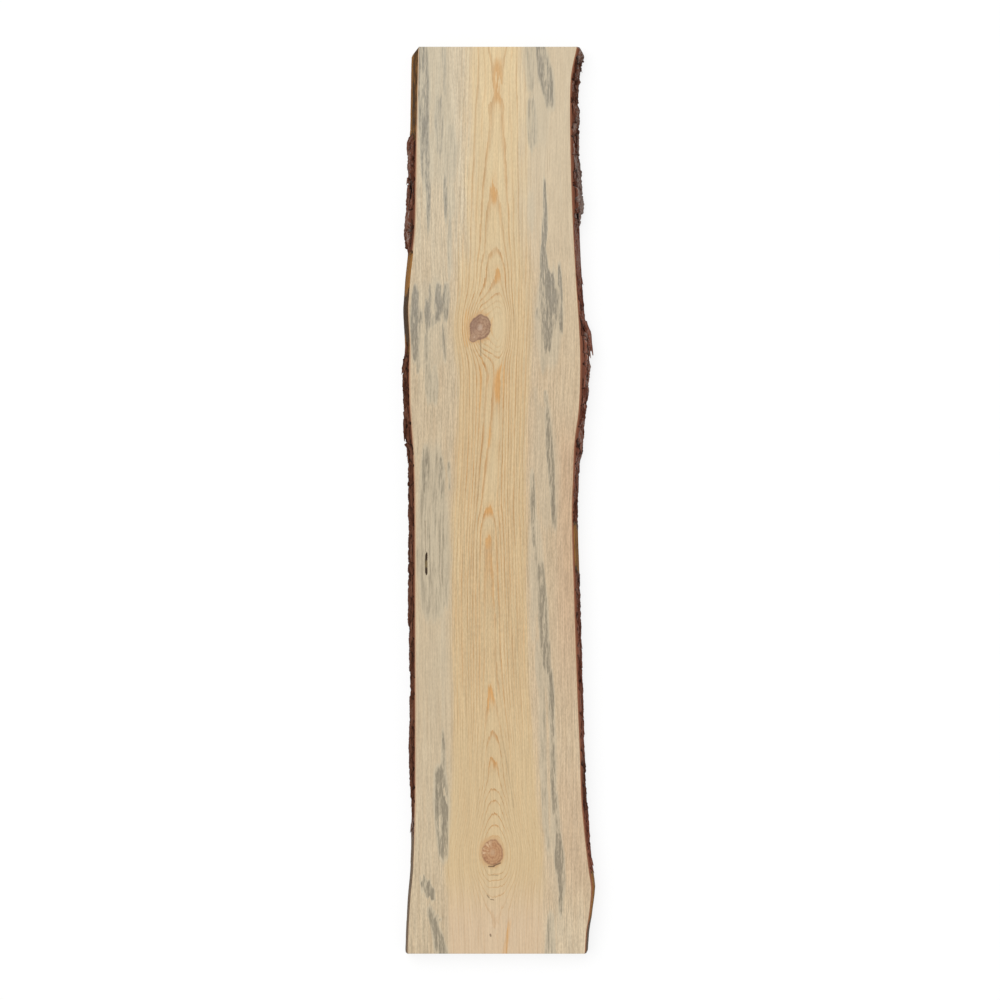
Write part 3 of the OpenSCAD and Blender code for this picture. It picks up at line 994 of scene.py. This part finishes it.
def bark_points(side):
    """Corners of a bark strip: from just inside the wood out to the relief, between the two saw cuts."""
    ny, nz = len(bark_stations), len(bark_levels)
    y_grid, z_grid = np.meshgrid(bark_stations, bark_levels, indexing="ij")
    relief, bare, furrow_and_shade, tone, painted_relief_shading = bark_relief(side, y_grid, z_grid)
    (i, j, k), quads = box_skin(len(bark_shares), ny, nz)
    out = bark_shares[i] if side == RIGHT else bark_shares[::-1][i]
    y, z = bark_stations[j], bark_levels[k]
    depth = out * (relief[j, k] + sunk) - sunk
    x = flank("wood", side, y, z) + side * depth
    crumbled = below_saw + 1.3 * out ** 3 * np.abs(rough(y / 5, 0 * y, bark_seed[side] + 7))
    z = z - crumbled * (k == nz - 1)
    cut = ((k == nz - 1) | (k == 0) | (j == 0) | (j == ny - 1)) & (out < 1)
    values = {
        "depth": np.maximum(depth, 0), "bare": bare[j, k], "furrow_and_shade": furrow_and_shade[j, k], "scale": tone[j, k],
        "painted_relief_shading": painted_relief_shading[j, k], "cut": cut.astype(float), "rind": np.full(len(y), pale_rind[side]),
        **bark_tones(side, y + torn_edge(side, y, z)),
    }
    return np.column_stack([x, drawn_back(x, y), z]), quads, values


# %% [markdown]
# Bark is dark brown to red outside and grey where it has weathered. Its furrows are nearly black, their dark
# colour deepened by painted shade, and painted shade also darkens the hollows under lifted plates and the
# low places of the relief, while a painted highlight lightens its ridges. Bare inner bark is golden brown
# with dark stretches. The tables kept at the corners say which of them is where.

# %% Outside of the bark
bark = Finish(bpy.data.materials.new("pine_bark"))
x, y, z = bark.place()
depth, bare, furrow_and_shade, scale, painted_relief_shading = map(bark.attribute, ("depth", "bare", "furrow_and_shade", "scale", "painted_relief_shading"))
gold, red, grey = map(bark.attribute, ("gold", "red", "grey"))
grain = bark.noise(x / 2, y / 4, z / 2, 4, 0.65)
specks = bark.noise(x / 1.3, y / 2.4, z / 1.3, 3, 0.6)
patches = bark.noise(x / 9, y / 16, z / 9)
streaks = bark.noise(x / 3, y / 22, z / 1.6, 3, 0.6)
rim = z.ease(13, 4) * (gold.ease(0.5, 0.62) * 0.5 - gold.ease(0.7, 0.9) * 0.75)
golden = (gold + (streaks - 0.5) * 0.6 + (patches - 0.5) * 0.4 + rim).ease(0.55, 0.85)
skin = bark.mix(golden, paint(65, 43, 20), paint(152, 105, 52))
skin = bark.mix(grey * (0.75 - golden * 0.6), skin, paint(148, 128, 106))
# Weathered grey, with a painted highlight on the ridges of the relief.
weathering_and_highlight = specks + grey * 0.2 + (patches - 0.5) * 0.3 + (painted_relief_shading - 0.5) * 0.2 + (scale - 0.5) * 0.22
light = bark.mix(red, paint(100, 64, 46), paint(164, 104, 84))
outside = bark.coats(
    bark.mix(red, paint(62, 33, 21), paint(112, 58, 41)),
    ((scale * 0.35 + patches).ease(0.42, 0.85), light),
    (weathering_and_highlight.ease(0.6, 0.76) * (grey.ease(0, 0.4) * 0.65 + 0.15), paint(158, 144, 136)),
    # Nearly black where the random grain is low and, as painted shade, in the low places of the relief.
    ((grain * 0.6 + painted_relief_shading * 0.4).ease(0.46, 0.26) * 0.85, paint(34, 19, 13)),
    # Furrows nearly black: their own dark colour deepened by painted shade, plus painted shade in hollows
    # and under flakes.
    (furrow_and_shade * 0.85, paint(24, 13, 9)),
    (bare * gold.ease(0.1, 0.25), bark.tint(skin, streaks * 1.2 + 0.3 + z.ease(17, 26) * 0.35)),
)

# %% [markdown]
# The saw cut shows the bark's layers: a light line of living tissue next to the wood, then red-brown layers
# that get darker outwards, with dark gaps where they have parted.

# %% Sawn bark
layers = bark.noise(depth * 1.4 + grain, y / 40, z / 60)
sawn_deep = bark.tint(bark.mix(red, paint(70, 40, 28), paint(114, 72, 57)), scale * 0.5 + 0.72)
sawn = bark.mix(depth.ease(0.4, 5.0), paint(132, 80, 57), sawn_deep)
seam = depth + (grain - 0.5) * 3 + (patches - 0.5) * 4 - (scale * 3 + 2.6)
gaps = (seam * seam).ease(1.0, 0.1) * depth.ease(1.8, 2.6) * patches.ease(0.36, 0.5)
sawn = bark.coats(
    bark.tint(sawn, (layers - 0.5) * 1.1 + 1),
    (gaps * 0.8, paint(28, 15, 10)),
    (depth.ease(0.8, 0.1) * (patches.ease(0.35, 0.65) * 0.5 + 0.1), paint(190, 136, 100)),
    (depth.ease(2.3, 0.8) * bark.attribute("rind") * 0.9, paint(204, 174, 142)),
)
colour = bark.mix(bark.attribute("cut").ease(0.3, 0.8), outside, sawn)
relief = bark.bump(grain * 0.7 + specks * 0.3, 0.7)
matt = 0.86 - bare * 0.22
bark.set("Principled BSDF", Base_Color=colour, Roughness=matt, Normal=relief, Specular_IOR_Level=0.06)

for side, node in bark_nodes.items():
    strip = make_piece(f"plank_{node}", *bark_points(side), bark.owner, "bark")
    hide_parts(node)

# %% [markdown]
# Some scales have come loose and stand off as splinters. A flake is one more bent box: it grows out of the
# bark at its root, narrows to a point and lifts away. A few large ones are placed one by one, and many small
# ones, scattered over the thick bark, make its outline shaggy.

# %% Loose flakes
# Large flakes as [y of the root, length, z of the root, width, lift, rise];
# a length below 0 points to the foot.
large_flakes = {
    LEFT: [[108, -30, 15, 9, 3.4, 2], [-146, -11, 16, 6, 2.2, 2], [-378, -16, 15, 6, 2.8, 2],
           [190, 20, 16, 8, 1.6, 2], [468, 16, 18, 8, 1.6, 2]],
    RIGHT: [[238, -46, 13, 13, 6.4, 3], [214, -26, 17, 7, 4.4, 2], [440, -12, 17, 7, 2.6, 3],
            [428, 10, 18, 5, 2.6, 2], [80, -18, 16, 8, 2.2, 3], [400, -22, 16, 9, 2, 3],
            [-362, -9, 16, 5, 2, 2]],
}
SMALL_FLAKES = 90
flake_thickness, root_depth = 0.22, 0.9
flake_rows, flake_columns = 11, 6


def small_flakes(side):
    """Scattered flakes, all pointing to the foot, with random places and sizes."""
    number = np.arange(SMALL_FLAKES)
    chance = [scatter(number, number * 0 + i, bark_seed[side] + 50) for i in range(6)]
    y = (chance[0] * 2 - 1) * (half_length - 20)
    length = -5 - 9 * chance[1]
    z = 4 + (thickness - 8) * chance[2]
    thick = bark_relief(side, y, z)[1] < 0.3
    flakes = np.column_stack([y, length, z, 3 + 4 * chance[3], 0.8 + 1.6 * chance[4], 2 * chance[5] - 1])
    return flakes[thick]


def flake_points(side):
    """Corners of all flakes of one side: along a flake its width shrinks and its lift grows with the way
    from the root, on top of the bark's own surface there."""
    flakes = np.concatenate([np.array(large_flakes[side], float), small_flakes(side)])
    root_y, length, root_z, width, lift, rise = (column[:, None] for column in flakes.T)
    (i, j, k), quads = box_skin(flake_rows, flake_columns, 2)
    share = i / (flake_rows - 1)
    way = np.where(length > 0, share, 1 - share)
    across = 2 * j / (flake_columns - 1) - 1
    y = root_y + length * way
    ragged = 1 + 0.35 * wander(way * 5 + root_y, across + 7, 71)
    z = root_z + rise * way + width / 2 * across * (1 - 0.88 * way ** 2) * ragged
    z = np.clip(z, 1, thickness - 0.6)
    inside = lift * ease(0.55, 1, way)
    outside = lift * way + flake_thickness * width * (1 - 0.6 * way) - 0.5 * across ** 2 * way
    out = solid_bark(side, y, z) - root_depth + np.where(k == 1, np.maximum(outside, inside + 0.5), inside)
    x = flank("wood", side, y, z) + side * out
    step = len(i) * np.arange(len(flakes))[:, None, None]
    quads = ((quads if side == RIGHT else quads[:, ::-1]) + step).reshape(-1, 4)
    points = np.stack([x, y, z], axis=-1).reshape(-1, 3)
    zero = np.zeros(len(points))
    # The flake's side towards the bark gets painted shade, as dark as a furrow.
    shade_under_flake = np.tile(0.9 - 0.9 * k, len(flakes))
    values = {
        "depth": zero + 3, "bare": zero, "furrow_and_shade": shade_under_flake, "scale": zero + 0.5, "painted_relief_shading": zero + 0.6,
        "cut": zero, "rind": zero, **bark_tones(side, points[:, 1]),
    }
    return points, quads, values


for side, node in bark_nodes.items():
    make_piece(f"loose_{node}", *flake_points(side), bark.owner, "bark")

# %% [markdown]
# The plank lies on a plain white floor. The floor takes the plank's shadow, and a glow that the camera and
# reflections see, but the wood doesn't, lifts it to white, so that no extra light falls on the wood.

# %% Floor
FLOOR_GREY, FLOOR_GLOW, FLOOR_HALF = 0.22, 0.8, 8.0
# A hair below the plank, so that the two never share a plane.
FLOOR_LEVEL = -0.0002


def seen_directly(finish):
    """1 where the camera, a mirror or a look through glass meets it, 0 where it only gives light."""
    rays = ("Is Camera Ray", "Is Glossy Ray", "Is Transmission Ray")
    camera, glossy, through_glass = (finish.node("ShaderNodeLightPath", {}, {}, ray) for ray in rays)
    return camera.at_least(glossy).at_least(through_glass)


def floor_finish():
    """Plain matt floor, lifted to white where it is seen directly."""
    floor = Finish(bpy.data.materials.new("white_floor"))
    floor.tree.nodes.remove(floor.tree.nodes["Principled BSDF"])
    matt = floor.node("ShaderNodeBsdfDiffuse", {}, {"Color": (FLOOR_GREY, FLOOR_GREY, FLOOR_GREY, 1)})
    glow = floor.node("ShaderNodeEmission", {}, {"Strength": seen_directly(floor) * FLOOR_GLOW})
    floor.set("Material Output", Surface=floor.node("ShaderNodeAddShader", {}, {0: matt, 1: glow}))
    return floor.owner


def make_floor():
    """A flat square on which the plank lies."""
    mesh = bpy.data.meshes.new("floor")
    corners = np.array([(-1, -1, 0), (1, -1, 0), (1, 1, 0), (-1, 1, 0)]) * FLOOR_HALF + (0, 0, FLOOR_LEVEL)
    mesh.from_pydata(corners.tolist(), [], [(0, 1, 2, 3)])
    mesh.materials.append(floor_finish())
    floor = bpy.data.objects.new("floor", mesh)
    bpy.context.scene.collection.objects.link(floor)


make_floor()

# %% [markdown]
# Light that is nearly even from all over the sky, with one broad lamp to shape the bark. The two together
# are set so that a colour comes out about as it is written.

# %% Light
SKY, LAMP, LAMP_SPREAD, LAMP_TILT = 0.62, 1.4, 60, (-22, -24, 0)
scene = bpy.context.scene
scene.view_settings.view_transform = "Standard"
scene.world = bpy.data.worlds.new("studio")
sky = Finish(scene.world)
sky.set("Background", Color=(1, 1, 1, 1), Strength=seen_directly(sky) * (1 - SKY) + SKY)

lamp = bpy.data.objects.new("lamp", bpy.data.lights.new("lamp", "SUN"))
lamp.data.energy = LAMP
lamp.data.angle = np.radians(LAMP_SPREAD)
lamp.rotation_euler = np.radians(LAMP_TILT)
scene.collection.objects.link(lamp)

# %% [markdown]
# The camera looks straight down from far away through a long lens, so that the plank's edges show as little
# perspective as possible. Its lens follows from the width of the view at the plank's upper face.

# %% Camera
VIEW_WIDTH, CAMERA_HEIGHT = 1.323, 6.0
view_centre = (0.002, 0.0003)
camera = bpy.data.objects.new("camera", bpy.data.cameras.new("camera"))
camera.data.sensor_width = 36
camera.data.lens = camera.data.sensor_width * (CAMERA_HEIGHT - thickness * MM) / VIEW_WIDTH
camera.location = (*view_centre, CAMERA_HEIGHT)
scene.collection.objects.link(camera)
scene.camera = camera
print(f"lens {camera.data.lens:.0f} mm")
